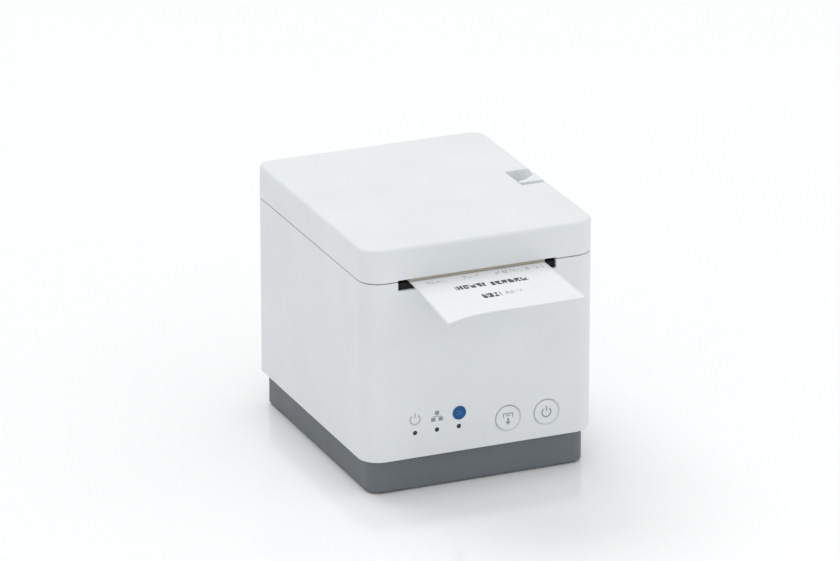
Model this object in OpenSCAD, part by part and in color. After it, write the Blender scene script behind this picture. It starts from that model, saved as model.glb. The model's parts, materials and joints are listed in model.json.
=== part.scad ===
// Receipt printer with a front paper exit, a lift-up lid and a built-in paper cutter.
// Millimetres. The origin is the centre of the footprint on the surface that it stands on,
// the front faces -Y, the right side is +X and +Z is up.

/* [Casing] */
// Overall width
body_w = 100; // [98:1:130]
// Overall depth of the casing, without the receipt
body_d = 117; // [116:1:145]
// Overall height
body_h = 104.6; // [102:0.1:130]
// Height of the lid
lid_h = 14; // [13.8:0.1:15]
// Height of the base up to the underside of the body
base_top = 14.8; // [12:0.1:16]
// Inset of the base behind the body all round
base_inset = 3.1; // [2:0.1:4]
// Radius of the front vertical corners
front_r = 8.7; // [7:0.1:10]
// Radius of the rear vertical corners
rear_r = 6.1; // [5:0.1:8]
// Radius around the top of the lid
crown_r = 1.8; // [1:0.1:2]
// Wall of the body and the lid
wall = 2.2; // [1.8:0.1:2.6]
// Wall of the base tray
base_wall = 2; // [1.6:0.1:2.5]
// Gap between the body and the lid
seam = 0.4; // [0.3:0.1:0.8]
// Height of the rubber feet below the tray
foot_drop = 0.8; // [0.5:0.1:1]
// Radius of a rubber foot
foot_r = 5; // [4:0.5:6]

/* [Paper] */
// Width of the paper
paper_w = 58.2; // [48:0.1:58.4]
// Centre of the paper across the printer
paper_x = -2.1; // [-3:0.1:0]
// Radius of a full paper roll
roll_r = 29; // [24:0.5:29.5]
// Outer radius of the roll's core
core_r = 9; // [8:0.5:10]
// Bore radius of the roll's core
core_bore_r = 6.25; // [6:0.25:7]
// Thickness of the paper
paper_t = 0.2; // [0.15:0.05:0.3]
// Length of receipt in front of the casing
receipt_out = 40.9; // [20:0.1:60]
// Drop of the receipt's free end
receipt_drop = 4.1; // [1:0.1:5]
// Width of the exit slot
slot_w = 68; // [64:1:70]
// Depth of the exit slot below the body's top edge
slot_h = 3.6; // [3:0.1:5]

/* [Feed] */
// Radius of the rubber platen roller
platen_r = 5; // [4.5:0.25:5.5]
// Radius of the platen's steel shaft
platen_shaft_r = 2; // [1.5:0.25:2.5]
// Gear module, the pitch diameter of each tooth
gear_m = 0.6; // [0.6:0.05:0.65]
// Teeth on the platen gear
platen_teeth = 20; // [18:1:22]
// Teeth on the small half of the reduction gear
small_teeth = 14; // [12:1:16]
// Teeth on the large half of the reduction gear
large_teeth = 28; // [24:1:30]
// Teeth on each motor pinion
pinion_teeth = 12; // [12:1:14]
// Radius of the feed motor
feed_motor_r = 7; // [6:0.5:7.5]

/* [Cutter] */
// Thickness of the moving blade
blade_t = 0.8; // [0.6:0.1:1]
// Travel of the moving blade
blade_travel = 5; // [4:0.5:5.5]
// Depth of the V in the moving blade's edge
blade_v = 2; // [1:0.5:2.5]
// Teeth on the large cutter gear
cutter_teeth = 24; // [20:1:26]
// Radius of the cutter motor
cutter_motor_r = 6; // [5:0.5:6.5]

/* [Lid hardware] */
// Height of the hinge axis above the lid's lower edge
hinge_up = 5.6; // [5:0.1:6]
// Radius of the round along the lid's lower rear edge
hinge_round = 5.5; // [5:0.1:5.8]
// Radius of the steel hinge rod
rod_r = 1.5; // [1.2:0.1:1.6]
// Radius of the latch shaft
latch_r = 1.5; // [1.2:0.1:1.8]
// Radius of the two catch pins
catch_r = 1.25; // [1:0.05:1.4]
// Width of the lever notch from the right side
notch_w = 11.5; // [10:0.5:13]
// Length of the lever notch from front to back
notch_l = 17.2; // [15:0.2:18]
// Travel of the print head against its springs
head_travel = 0.6; // [0.4:0.1:1]

/* [Controls] */
// Radius of the round recess around a button
recess_r = 5.7; // [5:0.1:6.5]
// Gap around a button in its recess
button_gap = 0.6; // [0.4:0.1:0.8]
// Travel of a button
button_travel = 0.9; // [0.5:0.1:1]
// Height of the buttons and lamps above the surface
control_z = 25.5; // [25:0.1:30]
// Radius of a lamp's light pipe
pipe_r = 0.95; // [0.8:0.05:1.2]
// Radius of the round badge
badge_r = 2.85; // [2:0.05:4]

/* [Screws] */
// Radius of the screw shanks
screw_r = 1.4; // [1.2:0.1:1.5]
// Radius of the screw heads
screw_head_r = 2.6; // [2.4:0.1:2.8]
// Radius of the small board screws
small_screw_r = 1; // [0.8:0.1:1.1]

/* [Hidden] */
$fn = 48;

fit = 0.05;                 // radial clearance of a running fit
snug = 0.02;                // clearance of fixed pieces set in one another
air = 0.3;                  // clearance between pieces that pass each other
past = 1;                   // how far a cutter runs past what it cuts
least_r = 0.5;              // smallest corner radius of an inner wall

// Casing levels
lid_z = body_h - lid_h;
body_top = lid_z - seam;
floor_t = 2.5;
tray_floor = foot_drop + floor_t;
flange_t = 2.2;
flange_w = 4.9;
base_w = body_w - 2 * base_inset;
base_d = body_d - 2 * base_inset;
front_y = -body_d / 2;
rear_y = body_d / 2;
in_front_y = front_y + wall;
in_rear_y = rear_y - wall;

// Screw lengths and heads
case_head_h = 1.8;
deck_head_h = 1.4;
deck_screw_l = 8;
frame_screw_l = 5;
small_head_r = 1.8;
small_head_h = 1;
board_screw_l = 4;
front_screw_l = 5;
lid_screw_l = 3.2;
shank_gap = 0.1;            // radial clearance of a screw's through hole

// Feet and case screws
foot_x = base_w / 2 - 9;
foot_y = base_d / 2 - 9;
foot_seat = 1.5;
case_screw_x = body_w / 2 - 8.5;
case_screw_y = body_d / 2 - 23;
case_boss_r = 3.5;
case_boss_h = 9;
head_recess = 5;
case_grip = 6;               // thread length in the body
stand_hole_x = body_w / 2 - 8.7;
stand_hole_r = 1.6;
stand_hole_depth = 9;
stand_boss_h = 11;

// Paper path
paper_l = paper_x - paper_w / 2;
slot_x = -2;
platen_y = front_y + 26;
paper_z = body_top - 0.55;              // underside of the paper between platen and exit
platen_z = paper_z - 0.1 - platen_r;
roll_y = front_y + 74;
roll_z = body_top - 9.2 - roll_r;
blade_y = front_y + 9.5;                // front face of the moving blade
web_end_y = blade_y + blade_t + air;
receipt_start_y = blade_y - air;

// Roll bucket and deck
bucket_gap = 2;
bucket_t = 2;
bucket_r = roll_r + bucket_gap;
bucket_z = roll_z + bucket_gap - air;
side_gap = 1.9;
cheek_t = 2;
cheek_in_l = paper_l - side_gap;
cheek_in_r = paper_l + paper_w + side_gap;
deck_t = 1.8;
deck_top = body_top - 4.2;
deck_z = deck_top - deck_t;
deck_gap = 0.3;
post_x = body_w / 2 - wall - screw_head_r - 0.2;
post_front_y = in_front_y + screw_head_r + 3.2;
post_rear_y = in_rear_y - screw_head_r - 1.7;
post_r = 3.2;

// Mechanism frame
plate_t = 1.5;
frame_l = cheek_in_l - 2;               // inner face of the left side plate
frame_r = cheek_in_r + 2.5;             // inner face of the right side plate
frame_front = front_y + 4.5;
frame_back = roll_y - bucket_r - bucket_t;
frame_top = deck_top - 0.2;
frame_cut_l = frame_l - plate_t - 2;
frame_cut_r = frame_r + plate_t + 7;
ear_l = 6.5;
ear_r = 11;
ear_d = 6;
ear_y = frame_front + 10;
bush_r = platen_shaft_r + 1.5;
bush_flange = 0.4;
ear_screw_l = 4.5;
ear_screw_r = 9;

// Feed gears
function pitch_r(teeth) = teeth * gear_m / 2;
gear_w = 2.5;
gear_gap = 0.5;
backlash = 0.2;
pressure = 25;
reduction_aim = -60;                    // direction from the platen gear to the reduction gear
motor_aim = -100;                       // direction from the reduction gear to the feed motor
platen_to_reduction = pitch_r(platen_teeth) + pitch_r(small_teeth);
reduction_y = platen_y + platen_to_reduction * cos(reduction_aim);
reduction_z = platen_z + platen_to_reduction * sin(reduction_aim);
reduction_to_motor = pitch_r(large_teeth) + pitch_r(pinion_teeth);
feed_motor_y = reduction_y + reduction_to_motor * cos(motor_aim);
feed_motor_z = reduction_z + reduction_to_motor * sin(motor_aim);
gear_x = frame_r + plate_t + gear_gap;
outer_gear_x = gear_x + gear_w + gear_gap;
post_pin_r = 1.2;
feed_motor_l = 16;
motor_shaft_r = 1;
motor_nose_r = 2.5;

// Cutter
blade_l = frame_l + 0.5;
blade_r = frame_r - 0.5;
blade_low = paper_z - 13.5;
blade_top = paper_z - 0.8;
rack_w = 3;
rack_pitch_y = blade_y + blade_t + 0.8;
cutter_gear_y = rack_pitch_y + pitch_r(pinion_teeth);
cutter_gear_z = blade_low - 4.2;
rack_low = cutter_gear_z - blade_travel - 4.8;
rack_high = blade_low + 2;
cutter_aim = -76;                       // direction from the cutter gear to its motor
cutter_to_motor = pitch_r(cutter_teeth) + pitch_r(pinion_teeth);
cutter_motor_y = cutter_gear_y + cutter_to_motor * cos(cutter_aim);
cutter_motor_z = cutter_gear_z + cutter_to_motor * sin(cutter_aim);
cutter_motor_l = 16;
cutter_gear_x = frame_l - plate_t - gear_gap - gear_w;
cutter_shaft_r = 1.2;
cutter_bush_r = 1.95;
cutter_nose_r = 2.1;
frame_bottom = min(feed_motor_z - feed_motor_r, cutter_motor_z - cutter_motor_r) - plate_t - air;

// Springs
spring_r = 2.2;
spring_wire = 0.5;

// Lid
hinge_y = rear_y - hinge_round;
hinge_z = lid_z + hinge_up;
knuckle_x = 30;
knuckle_w = 8;
knuckle_r = hinge_round - wall - air;
knuckle_gap = 0.4;
lug_t = 2;
lid_in_top = body_h - wall;
lid_plate_t = 1.5;
lid_plate_z = lid_in_top - 1.4 - lid_plate_t;
lid_screw_x = [-36, 30];
lid_screw_y = [-34, 34];
lid_post_r = 3;
latch_y = front_y + 56;
latch_z = lid_z + 3.4;
hook_t = 2;
hook_out = 1.6;                         // from a cheek's outer face to its hook
hook_l = cheek_in_l - cheek_t - hook_out - hook_t;
hook_r = cheek_in_r + cheek_t + hook_out;
catch_y = latch_y - 1;
catch_z = deck_z - 1.6;
notch_y = front_y + 48.5;
notch_x = body_w / 2 - notch_w;
pocket_t = 1.4;
lever_spring_r = latch_r + 0.5;
notch_low = latch_z + lever_spring_r + spring_wire / 2 + air + pocket_t;
lever_gap = 0.25;
lever_front_gap = 2.8;
lever_l = 10.3;
scoop_r = 12.6;
arm_w = 3;
arm_x = body_w / 2 - wall - arm_w - 0.8;
arm_d = 4.5;
skirt_up = 1.7;

// Print head
head_y = platen_y - 4.5;
head_d = 9;
head_t = 1;
head_z = paper_z + paper_t + 0.1;
sink_t = 3;
sink_d = 18;
sink_over = 1;
guide_y = head_y + sink_d - 4;
guide_r = 1.5;
guide_x = [for (s = [-1, 1]) paper_x + s * (paper_w / 2 - 2.1)];
spring_y = platen_y + 1.5;
head_spring_x = [for (s = [-1, 1]) paper_x + s * (paper_w / 2 - 9.1)];

// Controls
button_x = [11.45, 28.2];
lamp_x = [-28.9, -19.45, -10];
badge_x = -9.8;
badge_up = 5.7;
badge_t = 0.3;
button_r = recess_r - button_gap;
button_flange = 0.7;
flange_gap = 0.2;
stem_r = 1.5;
front_board_y = in_front_y + 5.8;       // front face of the front board
front_board_t = 1.6;
switch_w = 6.2;
switch_h = 3.5;
front_post_at = [[-32, 6.5], [2.5, -4], [36, 6.5]];

// Main board and sockets
board_t = 1.6;
board_z = tray_floor + 1.7;
board_top = board_z + board_t;
board_w = 75;
board_front = front_y + 28.5;
board_rear = rear_y - 7;
socket_face = rear_y - 5;
bay_w = 80;
bay_top = board_top + 15;
bay_low = board_z - 0.4;
inlet_x = -28.5;
drawer_x = -10;
usb_x = 8.5;
lan_x = 28;
standoff_x = 34.5;
standoff_y = [board_front + 3, rear_y - 28.5];
standoff_r = 2.5;
capacitor_r = 4;
capacitor_h = 10;
capacitor_x = 27;
capacitor_y = [-20, -8];
chips = [[-16, -14, 14, 1.4], [4, -12, 8, 1.2]];    // left and front corner, side and height
radio = [-34, -18, 12, 22, 2.4];                    // left and front corner, width, depth and height

// ---------- helpers ----------

// Footprint with two front radii and two rear radii
module plan(w, d, rf, rr) {
    translate([-w / 2, rf - d / 2]) square([w, d - rf - rr]);
    translate([rf - w / 2, -d / 2]) square([w - 2 * rf, rf]);
    translate([rr - w / 2, d / 2 - rr]) square([w - 2 * rr, rr]);
    for (s = [-1, 1]) {
        translate([s * (w / 2 - rf), rf - d / 2]) circle(rf);
        translate([s * (w / 2 - rr), d / 2 - rr]) circle(rr);
    }
}

// The casing's footprint, drawn in by an inset
module casing_plan(inset) {
    plan(body_w - 2 * inset, body_d - 2 * inset, max(front_r - inset, least_r),
        max(rear_r - inset, least_r));
}

module slab(z0, z1, inset) {
    translate([0, 0, z0]) linear_extrude(z1 - z0) casing_plan(inset);
}

module quarter(r) {
    intersection() {
        circle(r);
        square(r);
    }
}

module crown_ring(r) {
    rotate_extrude(angle = 90) {
        square([r - crown_r, crown_r]);
        translate([r - crown_r, 0]) quarter(crown_r);
    }
}

module crown_edge(len) {
    rotate([90, 0, 90]) linear_extrude(len) mirror([1, 0]) quarter(crown_r);
}

// The rounded top of the lid, one crown radius high
module crown() {
    side = body_d - front_r - rear_r;
    x = body_w / 2;
    y = body_d / 2;
    linear_extrude(crown_r) casing_plan(crown_r);
    translate([front_r - x, crown_r - y, 0]) crown_edge(body_w - 2 * front_r);
    translate([x - rear_r, y - crown_r, 0]) rotate([0, 0, 180]) crown_edge(body_w - 2 * rear_r);
    translate([x - crown_r, front_r - y, 0]) rotate([0, 0, 90]) crown_edge(side);
    translate([crown_r - x, y - rear_r, 0]) rotate([0, 0, -90]) crown_edge(side);
    translate([front_r - x, front_r - y, 0]) rotate([0, 0, 180]) crown_ring(front_r);
    translate([x - front_r, front_r - y, 0]) rotate([0, 0, 270]) crown_ring(front_r);
    translate([x - rear_r, y - rear_r, 0]) crown_ring(rear_r);
    translate([rear_r - x, y - rear_r, 0]) rotate([0, 0, 90]) crown_ring(rear_r);
}

// Children drawn in a Y-Z plane and extruded towards +X
module across(x, y = 0, z = 0) {
    translate([x, y, z]) rotate([90, 0, 90]) children();
}

module rod_x(x0, x1, y, z, r) {
    across(x0, y, z) cylinder(r = r, h = x1 - x0);
}

// Children drawn in an X-Z plane and extruded towards -Y, the front
module frontward(x, y, z) {
    translate([x, y, z]) rotate([90, 0, 0]) children();
}

module rod_y(x, z, y_front, y_back, r) {
    frontward(x, y_back, z) cylinder(r = r, h = y_back - y_front);
}

module block(x0, x1, y0, y1, z0, z1) {
    translate([x0, y0, z0]) cube([x1 - x0, y1 - y0, z1 - z0]);
}

// Half the angle that a gear tooth fills at radius r
function roll_off(a) = tan(a) * 180 / PI - a;
function half_tooth(teeth, r) =
    let (rp = pitch_r(teeth), rb = rp * cos(pressure))
    (PI * gear_m / 2 - backlash) / (2 * rp) * 180 / PI
    + roll_off(pressure) - roll_off(acos(min(1, rb / r)));

// Outline of a gear with a tooth centred on the direction aim
module gear_outline(teeth, aim) {
    rp = pitch_r(teeth);
    root = rp - 1.15 * gear_m;
    tip = rp + 0.85 * gear_m;
    low = max(root, rp * cos(pressure));
    flank = [root, low + 0.02, (low + rp) / 2, rp, (rp + tip) / 2, tip];
    last = len(flank) - 1;
    polygon([
        for (t = [0 : teeth - 1])
            let (mid = aim + t * 360 / teeth)
                for (i = [0 : 2 * last + 1])
                    let (
                        rising = i <= last,
                        r = rising ? flank[i] : flank[2 * last + 1 - i],
                        a = half_tooth(teeth, max(r, low + 0.02)),
                        at = rising ? mid - a : mid + a
                    )
                    [r * cos(at), r * sin(at)]
    ]);
}

module gear_x(x, y, z, teeth, aim) {
    across(x, y, z) linear_extrude(gear_w) gear_outline(teeth, aim);
}

// Screw with its head's top at the origin, pointing down
module screw(r, head_r, head_h, len) {
    translate([0, 0, -head_h]) difference() {
        cylinder(r = head_r, h = head_h);
        translate([0, 0, head_h / 2]) cylinder(r = head_r / 2, h = head_h, $fn = 6);
    }
    translate([0, 0, -head_h - len]) cylinder(r = r, h = len);
}

// Coil spring along +Z as one swept tube
module coil(r, wire, turns, len) {
    sides = 6;
    steps = 10;
    count = turns * steps;
    points = [
        for (i = [0 : count])
            let (a = 360 * i / steps, rise = len * i / count)
                for (k = [0 : sides - 1])
                    let (b = 360 * k / sides, rr = r + wire / 2 * cos(b))
                        [rr * cos(a), rr * sin(a), rise + wire / 2 * sin(b)]
    ];
    walls = [
        for (i = [0 : count - 1])
            for (k = [0 : sides - 1])
                let (n = (k + 1) % sides, j = i * sides)
                    [j + k, j + n, j + sides + n, j + sides + k]
    ];
    start = [for (k = [sides - 1 : -1 : 0]) k];
    end = [for (k = [0 : sides - 1]) count * sides + k];
    polyhedron(points, concat(walls, [start], [end]));
}

// ---------- base ----------

module at_feet() {
    for (x = [-foot_x, foot_x], y = [-foot_y, foot_y])
        translate([x, y, 0]) children();
}

module at_case_screws() {
    for (x = [-case_screw_x, case_screw_x], y = [-case_screw_y, case_screw_y])
        translate([x, y, 0]) children();
}

module base_tray() {
    color([0.43, 0.46, 0.48]) difference() {
        union() {
            difference() {
                slab(foot_drop, base_top, base_inset);
                slab(tray_floor, base_top + past, base_inset + base_wall);
            }
            at_case_screws()
                translate([0, 0, foot_drop]) cylinder(r = case_boss_r, h = base_top - foot_drop);
            for (s = [-1, 1])
                translate([s * stand_hole_x, 0, foot_drop])
                    cylinder(r = stand_hole_r + 1.9, h = stand_boss_h);
            for (x = [-standoff_x, standoff_x], y = standoff_y)
                translate([x, y, foot_drop]) cylinder(r = standoff_r, h = board_z - foot_drop);
        }
        at_feet() translate([0, 0, foot_drop - past]) cylinder(r = foot_r + snug, h = foot_seat + past);
        at_case_screws() {
            translate([0, 0, foot_drop - past]) cylinder(r = screw_head_r + 0.3, h = head_recess + past);
            translate([0, 0, foot_drop]) cylinder(r = screw_r + 0.2, h = base_top);
        }
        for (s = [-1, 1])
            translate([s * stand_hole_x, 0, foot_drop - past])
                cylinder(r = stand_hole_r, h = stand_hole_depth + past);
        for (x = [-standoff_x, standoff_x], y = standoff_y)
            translate([x, y, tray_floor - 1.5]) cylinder(r = small_screw_r + snug, h = base_top);
        block(-bay_w / 2, bay_w / 2, rear_y - base_inset - base_wall - past, rear_y, bay_low, bay_top);
    }
}

module rubber_feet() {
    color([0.12, 0.12, 0.13]) at_feet() cylinder(r = foot_r, h = foot_drop + foot_seat);
}

module case_screws() {
    color("silver") at_case_screws()
        translate([0, 0, foot_drop + head_recess - case_head_h]) mirror([0, 0, 1])
            screw(screw_r, screw_head_r, case_head_h, base_top - foot_drop - head_recess + case_grip);
}

// ---------- body shell ----------

module at_posts() {
    for (x = [-post_x, post_x], y = [post_front_y, post_rear_y])
        translate([x, y, 0]) children();
}

module at_front_posts() {
    for (p = front_post_at)
        frontward(p[0], front_board_y, control_z + p[1]) children();
}

module body_shell() {
    color([0.92, 0.93, 0.93]) difference() {
        union() {
            difference() {
                slab(base_top, body_top, 0);
                slab(base_top + flange_t, body_top + past, wall);
                slab(base_top - past, base_top + flange_t + past, wall + flange_w);
            }
            at_posts() translate([0, 0, base_top]) cylinder(r = post_r, h = deck_z - base_top);
            at_case_screws() translate([0, 0, base_top]) cylinder(r = case_boss_r, h = case_boss_h);
            at_front_posts() cylinder(r = 2.4, h = front_board_y - in_front_y + 0.5);
        }
        block(slot_x - slot_w / 2, slot_x + slot_w / 2, front_y - past, in_front_y + past,
            body_top - slot_h, body_top + past);
        for (x = button_x)
            rod_y(x, control_z, front_y - past, in_front_y + past, recess_r);
        for (x = lamp_x)
            rod_y(x, control_z, front_y - past, in_front_y + past, pipe_r + snug);
        rod_y(badge_x, control_z + badge_up, front_y - past, front_y + badge_t, badge_r + snug);
        at_front_posts() translate([0, 0, -past]) cylinder(r = small_screw_r + snug, h = past + 5);
        at_posts()
            translate([0, 0, deck_z - deck_screw_l]) cylinder(r = screw_r + snug, h = deck_screw_l + past);
        at_case_screws()
            translate([0, 0, base_top - past]) cylinder(r = screw_r + snug, h = past + case_grip + 1);
        block(-bay_w / 2, bay_w / 2, in_rear_y - flange_w - past, rear_y + past, base_top - past, bay_top);
    }
}

module round_badge() {
    color([0.05, 0.32, 0.56])
        rod_y(badge_x, control_z + badge_up, front_y - 0.1, front_y + badge_t, badge_r);
}

// ---------- roll bucket and deck ----------

module at_mechanism_screws() {
    for (x = [frame_l - plate_t - ear_screw_l, frame_r + plate_t + ear_screw_r])
        translate([x, ear_y, 0]) children();
}

module roll_bucket() {
    outer = bucket_r + bucket_t;
    lip_y = roll_y - outer;
    back_y = roll_y + outer;
    color([0.8, 0.82, 0.82]) difference() {
        union() {
            across(cheek_in_l - cheek_t, roll_y, bucket_z)
                cylinder(r = outer, h = cheek_in_r - cheek_in_l + 2 * cheek_t);
            block(cheek_in_l - cheek_t, cheek_in_r + cheek_t, lip_y, back_y, bucket_z, deck_z + snug);
            slab(deck_z, deck_top, wall + deck_gap);
        }
        rod_x(cheek_in_l, cheek_in_r, roll_y, bucket_z, bucket_r);
        block(cheek_in_l, cheek_in_r, roll_y - bucket_r, roll_y + bucket_r, bucket_z, deck_top + past);
        block(frame_cut_l, frame_cut_r, frame_front - 0.5, lip_y, deck_z - past, deck_top + past);
        block(cheek_in_l, cheek_in_r, lip_y - past, roll_y, deck_z + snug, deck_top + past);
        block(frame_cut_l + 6, frame_cut_r - 6, -body_d, frame_front, deck_z - past, deck_top + past);
        for (x = [hook_l, hook_r])
            block(x - 0.6, x + hook_t + 0.6, latch_y - 5, latch_y + 7, deck_z - past, deck_top + past);
        at_posts() translate([0, 0, deck_z - past]) cylinder(r = screw_r + shank_gap, h = deck_t + 2 * past);
        at_mechanism_screws()
            translate([0, 0, deck_z - past]) cylinder(r = screw_r + shank_gap, h = deck_t + 2 * past);
        rod_x(cheek_in_l - cheek_t - past, cheek_in_r + cheek_t + past, catch_y, catch_z, catch_r + snug);
        for (s = [-1, 1])
            block(s * knuckle_x - knuckle_w / 2 - 1, s * knuckle_x + knuckle_w / 2 + 1,
                hinge_y - knuckle_r - 2, rear_y, deck_z - past, deck_top + past);
    }
}

module deck_screws() {
    color("silver") {
        at_posts() translate([0, 0, deck_top + deck_head_h])
            screw(screw_r, screw_head_r, deck_head_h, deck_screw_l);
        at_mechanism_screws() translate([0, 0, deck_top + deck_head_h])
            screw(screw_r, screw_head_r, deck_head_h, frame_screw_l);
    }
}

module catch_pins() {
    reach = hook_out + hook_t + 1;
    color("silver") {
        rod_x(cheek_in_l - cheek_t - reach, cheek_in_l - 0.1, catch_y, catch_z, catch_r);
        rod_x(cheek_in_r + 0.1, cheek_in_r + cheek_t + reach, catch_y, catch_z, catch_r);
    }
}

module hinge_brackets() {
    arm_back = -0.5;
    color([0.35, 0.37, 0.38])
        for (s = [-1, 1]) {
            x0 = s * knuckle_x - knuckle_w / 2;
            difference() {
                union() {
                    rod_x(x0, x0 + knuckle_w, hinge_y, hinge_z, knuckle_r);
                    block(x0, x0 + knuckle_w, hinge_y - knuckle_r, hinge_y + arm_back, deck_z - 9, hinge_z);
                    block(x0, x0 + knuckle_w, hinge_y - knuckle_r, in_rear_y, deck_z - 9, deck_z - 2);
                }
                rod_x(x0 - past, x0 + knuckle_w + past, hinge_y, hinge_z, rod_r + fit);
            }
        }
}

// ---------- print and cut mechanism ----------

module side_plate(x) {
    difference() {
        block(x, x + plate_t, frame_front, frame_back, frame_bottom, frame_top);
        rod_x(x - past, x + plate_t + past, platen_y, platen_z, bush_r + snug);
    }
}

module mechanism_frame() {
    l = frame_l - plate_t;
    r = frame_r + plate_t;
    ear_z0 = deck_z - plate_t;
    color([0.62, 0.64, 0.66]) difference() {
        union() {
            side_plate(l);
            side_plate(frame_r);
            block(l, r, frame_front, frame_back, frame_bottom, frame_bottom + plate_t);
            block(l, r, frame_back - plate_t, frame_back, frame_bottom, frame_bottom + 16);
            block(l - ear_l, l + snug, ear_y - ear_d / 2, ear_y + ear_d / 2, ear_z0, deck_z);
            block(r - snug, r + ear_r, ear_y - ear_d / 2, ear_y + ear_d / 2, ear_z0, deck_z);
        }
        block(l - past, frame_l + past, frame_front - past, frame_back - past * 4,
            paper_z - 2, body_h);
        block(frame_r - past, r + past, frame_front - past, frame_back - past * 4,
            paper_z - 2, body_h);
        rod_x(frame_r - past, r + past, feed_motor_y, feed_motor_z, motor_nose_r + 0.1);
        rod_x(frame_r - past, r + past, reduction_y, reduction_z, post_pin_r + snug);
        rod_x(l - past, frame_l + past, cutter_gear_y, cutter_gear_z, cutter_bush_r + fit);
        rod_x(l - past, frame_l + past, cutter_motor_y, cutter_motor_z, cutter_nose_r + 0.1);
        at_mechanism_screws() translate([0, 0, ear_z0 - past]) cylinder(r = screw_r + snug, h = 4);
    }
}

// Bush in a side plate that starts at x, with a flange on its outer side
module bush(x, flange_x) {
    difference() {
        union() {
            rod_x(x, x + plate_t, platen_y, platen_z, bush_r);
            rod_x(flange_x, flange_x + bush_flange, platen_y, platen_z, bush_r + 1);
        }
        rod_x(x - 2, x + plate_t + 2, platen_y, platen_z, platen_shaft_r + fit);
    }
}

module platen_bushings() {
    color([0.16, 0.16, 0.17]) {
        bush(frame_l - plate_t, frame_l - plate_t - bush_flange);
        bush(frame_r, frame_r + plate_t);
    }
}

module platen_roller() {
    color([0.13, 0.13, 0.14]) difference() {
        rod_x(paper_l - 0.9, paper_l + paper_w + 0.9, platen_y, platen_z, platen_r);
        rod_x(paper_l - 2, paper_l + paper_w + 2, platen_y, platen_z, platen_shaft_r);
    }
}

module platen_shaft() {
    color("silver")
        rod_x(frame_l - plate_t - 1.4, gear_x + gear_w + 0.3, platen_y, platen_z, platen_shaft_r);
}

module platen_gear() {
    color([0.93, 0.92, 0.88]) difference() {
        gear_x(gear_x, platen_y, platen_z, platen_teeth, reduction_aim);
        rod_x(gear_x - past, gear_x + gear_w + past, platen_y, platen_z, platen_shaft_r);
    }
}

module reduction_gear() {
    color([0.9, 0.89, 0.84]) difference() {
        union() {
            gear_x(outer_gear_x, reduction_y, reduction_z, large_teeth, motor_aim);
            rod_x(gear_x + gear_w - snug, outer_gear_x + snug, reduction_y, reduction_z, 3);
            gear_x(gear_x, reduction_y, reduction_z, small_teeth,
                reduction_aim + 180 + 180 / small_teeth);
        }
        rod_x(gear_x - past, outer_gear_x + gear_w + past, reduction_y, reduction_z, post_pin_r + fit);
    }
}

module feed_pinion() {
    color("gold") {
        gear_x(outer_gear_x, feed_motor_y, feed_motor_z, pinion_teeth,
            motor_aim + 180 + 180 / pinion_teeth);
        rod_x(frame_r - 1, outer_gear_x + snug, feed_motor_y, feed_motor_z, motor_shaft_r);
    }
}

module feed_motor() {
    x0 = frame_r - feed_motor_l;
    color([0.55, 0.57, 0.6]) difference() {
        union() {
            rod_x(x0, frame_r - snug, feed_motor_y, feed_motor_z, feed_motor_r);
            rod_x(frame_r - snug, frame_r + plate_t, feed_motor_y, feed_motor_z, motor_nose_r);
        }
        rod_x(frame_r - 3, frame_r + 3, feed_motor_y, feed_motor_z, motor_shaft_r + fit);
    }
}

module cutter_motor() {
    color([0.5, 0.52, 0.55]) difference() {
        union() {
            rod_x(frame_l + snug, frame_l + cutter_motor_l, cutter_motor_y, cutter_motor_z, cutter_motor_r);
            rod_x(frame_l - plate_t, frame_l + snug, cutter_motor_y, cutter_motor_z, cutter_nose_r);
        }
        rod_x(frame_l - 3, frame_l + 3, cutter_motor_y, cutter_motor_z, motor_shaft_r + fit);
    }
}

module gear_posts() {
    color("silver") {
        rod_x(frame_r, outer_gear_x + gear_w + 0.5, reduction_y, reduction_z, post_pin_r);
        rod_x(outer_gear_x + gear_w + 0.3, outer_gear_x + gear_w + 0.9, reduction_y, reduction_z, 2);
        difference() {
            rod_x(frame_l - plate_t, frame_l, cutter_gear_y, cutter_gear_z, cutter_bush_r);
            rod_x(frame_l - 3, frame_l + past, cutter_gear_y, cutter_gear_z, cutter_shaft_r + fit);
        }
    }
}

module cutter_gear() {
    rack_x = blade_l + 0.1;
    color([0.93, 0.92, 0.88]) {
        gear_x(rack_x, cutter_gear_y, cutter_gear_z, pinion_teeth, 180 + 180 / pinion_teeth);
        rod_x(cutter_gear_x, rack_x + gear_w + 0.5, cutter_gear_y, cutter_gear_z, cutter_shaft_r);
        gear_x(cutter_gear_x, cutter_gear_y, cutter_gear_z, cutter_teeth, cutter_aim);
    }
}

module cutter_pinion() {
    color("gold") {
        gear_x(cutter_gear_x, cutter_motor_y, cutter_motor_z, pinion_teeth,
            cutter_aim + 180 + 180 / pinion_teeth);
        rod_x(cutter_gear_x + gear_w - snug, frame_l + 1, cutter_motor_y, cutter_motor_z, motor_shaft_r);
    }
}

// Rack teeth face +Y, with a tooth at the height of the cutter gear
module rack() {
    pitch = PI * gear_m;
    half = (pitch / 2 - backlash) / 2;
    lean = tan(pressure);
    up = 0.85 * gear_m;
    down = 0.8;
    across(blade_l, 0, 0) linear_extrude(rack_w) union() {
        translate([blade_y + blade_t - snug, rack_low])
            square([rack_pitch_y - down - blade_y - blade_t + 0.3, rack_high - rack_low]);
        for (n = [-4 : 1])
            translate([rack_pitch_y, cutter_gear_z + n * pitch])
                polygon([
                    [-down, -half - lean * down],
                    [up, lean * up - half],
                    [up, half - lean * up],
                    [-down, half + lean * down]
                ]);
    }
}

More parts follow.
